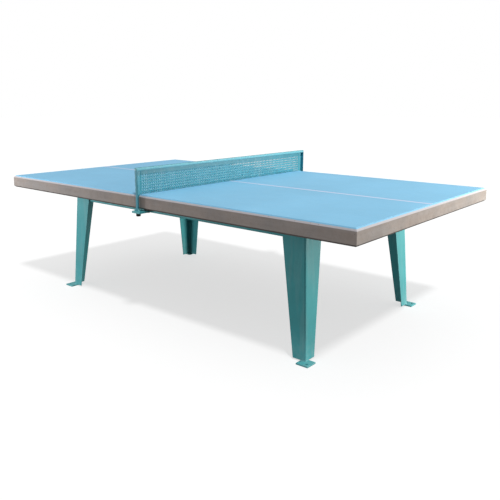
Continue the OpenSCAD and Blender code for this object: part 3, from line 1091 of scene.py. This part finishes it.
class TABLE_OT_finishes(TableOperator, bpy.types.Operator):
    """Build the shared effects and all the materials"""

    bl_idname = "table.finishes"
    bl_label = "Finishes"

    def build(self, scene):
        make_materials(scene.table_finishes)


class TABLE_OT_slab(TableOperator, bpy.types.Operator):
    """Build the concrete top with softened edges"""

    bl_idname = "table.slab"
    bl_label = "Concrete top"

    def build(self, scene):
        rounded_piece("concrete_slab", scene.table_shapes.slab_edge)


class TABLE_OT_court(TableOperator, bpy.types.Operator):
    """Finish the coating, the middle line and the bars cast into the concrete"""

    bl_idname = "table.court"
    bl_label = "Court and reinforcement"

    def build(self, scene):
        for node in ("court_front", "court_back", "middle_line_paint",
                     "mesh_bars_long", "mesh_bars_cross"):
            keep_node(node)


class TABLE_OT_legs(TableOperator, bpy.types.Operator):
    """Build the four folded legs"""

    bl_idname = "table.legs"
    bl_label = "Legs"

    def build(self, scene):
        for name, corner in CORNERS.items():
            build_leg(name, corner, scene.table_shapes)


class TABLE_OT_feet(TableOperator, bpy.types.Operator):
    """Build the foot plates, the head plates and the weld beads at the feet"""

    bl_idname = "table.feet"
    bl_label = "Foot and head plates"

    def build(self, scene):
        for name, corner in CORNERS.items():
            rounded_piece("foot_plate_" + name, scene.table_shapes.plate_edge)
            rounded_piece("head_plate_" + name, scene.table_shapes.plate_edge)
            build_foot_weld(name, corner, scene.table_shapes)


class TABLE_OT_rails(TableOperator, bpy.types.Operator):
    """Build the four folded rails of the underframe"""

    bl_idname = "table.rails"
    bl_label = "Rails"

    def build(self, scene):
        for node in ("long_rail_front", "long_rail_back", "end_rail_left", "end_rail_right"):
            build_rail(node, scene.table_shapes)


class TABLE_OT_fasteners(TableOperator, bpy.types.Operator):
    """Build the bolts, washers, spacers, nuts and inserts"""

    bl_idname = "table.fasteners"
    bl_label = "Fasteners"

    def build(self, scene):
        build_bolts("leg_bolts", across=18 * MM, shank=12 * MM, head=7.5 * MM)
        build_bolts("bracket_bolts", across=16 * MM, shank=10 * MM, head=6.4 * MM)
        build_rings("leg_washers", hole=13 * MM, edge=0.4 * MM)
        build_rings("bracket_washers", hole=11 * MM, edge=0.3 * MM)
        build_rings("bracket_spacers", hole=11 * MM, edge=0.6 * MM)
        build_nuts("net_nuts", across=13 * MM, bore=8.1 * MM)
        keep_node("leg_inserts")
        keep_node("bracket_inserts")


class TABLE_OT_net(TableOperator, bpy.types.Operator):
    """Build the perforated net with its folded upper edge"""

    bl_idname = "table.net"
    bl_label = "Net"

    def build(self, scene):
        build_net(scene.table_shapes)


class TABLE_OT_net_posts(TableOperator, bpy.types.Operator):
    """Build the net's posts, their feet and their weld beads"""

    bl_idname = "table.net_posts"
    bl_label = "Net posts"

    def build(self, scene):
        for name, side in ENDS.items():
            build_net_post(name, side, scene.table_shapes)
            rounded_piece("net_foot_" + name, scene.table_shapes.sheet_edge)
            build_post_weld(name, side, scene.table_shapes)


class TABLE_OT_brackets(TableOperator, bpy.types.Operator):
    """Build the bracket plates under the edge of the top"""

    bl_idname = "table.brackets"
    bl_label = "Brackets"

    def build(self, scene):
        for name in ENDS:
            rounded_piece("bracket_" + name, scene.table_shapes.plate_edge)


class TABLE_OT_hand_screws(TableOperator, bpy.types.Operator):
    """Build the knobs, their threaded studs and their thrust washers"""

    bl_idname = "table.hand_screws"
    bl_label = "Hand screws"

    def build(self, scene):
        for name in ENDS:
            build_knob(name)
            build_stud("screw_stud_" + name, scene.table_shapes.thread_pitch)
            build_rings("thrust_washer_" + name, hole=8.6 * MM, edge=0.3 * MM)


def add_camera(stage):
    data = bpy.data.cameras.new("Camera")
    data.sensor_width = 36.0
    data.lens = stage.lens
    data.shift_y = stage.camera_shift
    camera = bpy.data.objects.new("Camera", data)
    camera.location = stage.camera_place
    camera.rotation_euler = (math.pi / 2 - stage.camera_dip, 0.0, stage.camera_turn)
    bpy.context.scene.collection.objects.link(camera)
    bpy.context.scene.camera = camera


def add_light(name, kind, place, target, strength, size, receivers=None, tint=(1, 1, 1)):
    """A light aimed at a point. receivers limits what it shines on."""
    data = bpy.data.lights.new(name, kind)
    data.energy = strength
    data.color = tint
    if kind == "SUN":
        data.angle = size
    else:
        data.shape = "DISK"
        data.size = size
    light = bpy.data.objects.new(name, data)
    light.location = place
    light.rotation_euler = (Vector(target) - Vector(place)).to_track_quat("-Z", "Y").to_euler()
    light.visible_camera = False
    bpy.context.scene.collection.objects.link(light)
    if receivers:
        light.light_linking.receiver_collection = receivers


def add_floor():
    bm = bmesh.new()
    bmesh.ops.create_grid(bm, x_segments=4, y_segments=4, size=FLOOR_HALF)
    mesh = bpy.data.meshes.new("Floor")
    bm.to_mesh(mesh)
    bm.free()
    mesh.materials.append(MATERIALS["floor"])
    floor = bpy.data.objects.new("Floor", mesh)
    floor.location.z = CAD_BOX[0].z - FLOOR_DROP
    bpy.context.scene.collection.objects.link(floor)
    floor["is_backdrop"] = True


def add_lights(stage):
    """A sun for the shadow on the floor, and two soft lights that shine on the pieces only."""
    lit = bpy.data.collections.new("Lit by the side lights")
    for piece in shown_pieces():
        lit.objects.link(piece)
    add_light("Sun", "SUN", SUN_PLACE, MIDDLE, stage.sun, SUN_WIDTH)
    add_light("Side light", "AREA", SIDE_PLACE, MIDDLE, stage.side, SIDE_SIZE, lit, SIDE_TINT)
    add_light("Fill light", "AREA", FILL_PLACE, FILL_TARGET, stage.fill, FILL_SIZE, lit)


def add_backdrop(stage):
    """Light that is stronger from above, behind a backdrop that the camera sees as white."""
    world = bpy.data.worlds.new("Backdrop")
    world.use_nodes = True
    world.node_tree.nodes.clear()
    t = NodeTree(world.node_tree)
    way = t.node("ShaderNodeTexCoord").outputs["Generated"]
    height = t.node("ShaderNodeSeparateXYZ", {0: way}).outputs["Z"]
    glow = t.span(height, 0.0, 1.0, stage.horizon, stage.zenith)
    seen = t.node("ShaderNodeLightPath").outputs["Is Camera Ray"]
    strength = t.math("MAXIMUM", glow, seen)
    light = t.node("ShaderNodeBackground", {"Color": WHITE, "Strength": strength})
    output = t.node("ShaderNodeOutputWorld")
    t.join(light.outputs[0], output.inputs[0])
    bpy.context.scene.world = world


class TABLE_OT_stage(TableOperator, bpy.types.Operator):
    """Build the floor, the lights, the backdrop and the camera"""

    bl_idname = "table.stage"
    bl_label = "Stage"

    def build(self, scene):
        add_camera(scene.table_stage)
        add_floor()
        add_lights(scene.table_stage)
        add_backdrop(scene.table_stage)
        scene.view_settings.view_transform = "Standard"


OPERATORS = (
    TABLE_OT_finishes, TABLE_OT_slab, TABLE_OT_court, TABLE_OT_legs, TABLE_OT_feet,
    TABLE_OT_rails, TABLE_OT_fasteners, TABLE_OT_net, TABLE_OT_net_posts,
    TABLE_OT_brackets, TABLE_OT_hand_screws, TABLE_OT_stage,
)


class TABLE_PT_pieces(bpy.types.Panel):
    """The table's pieces and settings"""

    bl_idname = "TABLE_PT_pieces"
    bl_label = "Table tennis table"
    bl_space_type = "VIEW_3D"
    bl_region_type = "UI"
    bl_category = "Table"

    def draw(self, context):
        layout = self.layout
        for operator in OPERATORS:
            layout.operator(operator.bl_idname, text=operator.bl_label)
        for settings in ("table_finishes", "table_shapes", "table_stage"):
            group = getattr(context.scene, settings)
            box = layout.box()
            for name in type(group).__annotations__:
                box.prop(group, name)


CLASSES = (TableFinishes, TableShapes, TableStage) + OPERATORS + (TABLE_PT_pieces,)


def register():
    for item in CLASSES:
        bpy.utils.register_class(item)
    bpy.types.Scene.table_finishes = PointerProperty(type=TableFinishes)
    bpy.types.Scene.table_shapes = PointerProperty(type=TableShapes)
    bpy.types.Scene.table_stage = PointerProperty(type=TableStage)


def unregister():
    del bpy.types.Scene.table_finishes
    del bpy.types.Scene.table_shapes
    del bpy.types.Scene.table_stage
    for item in reversed(CLASSES):
        bpy.utils.unregister_class(item)


def main():
    """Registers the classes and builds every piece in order."""
    register()
    for operator in OPERATORS:
        group, name = operator.bl_idname.split(".")
        getattr(getattr(bpy.ops, group), name)()


if __name__ == "__main__":
    main()
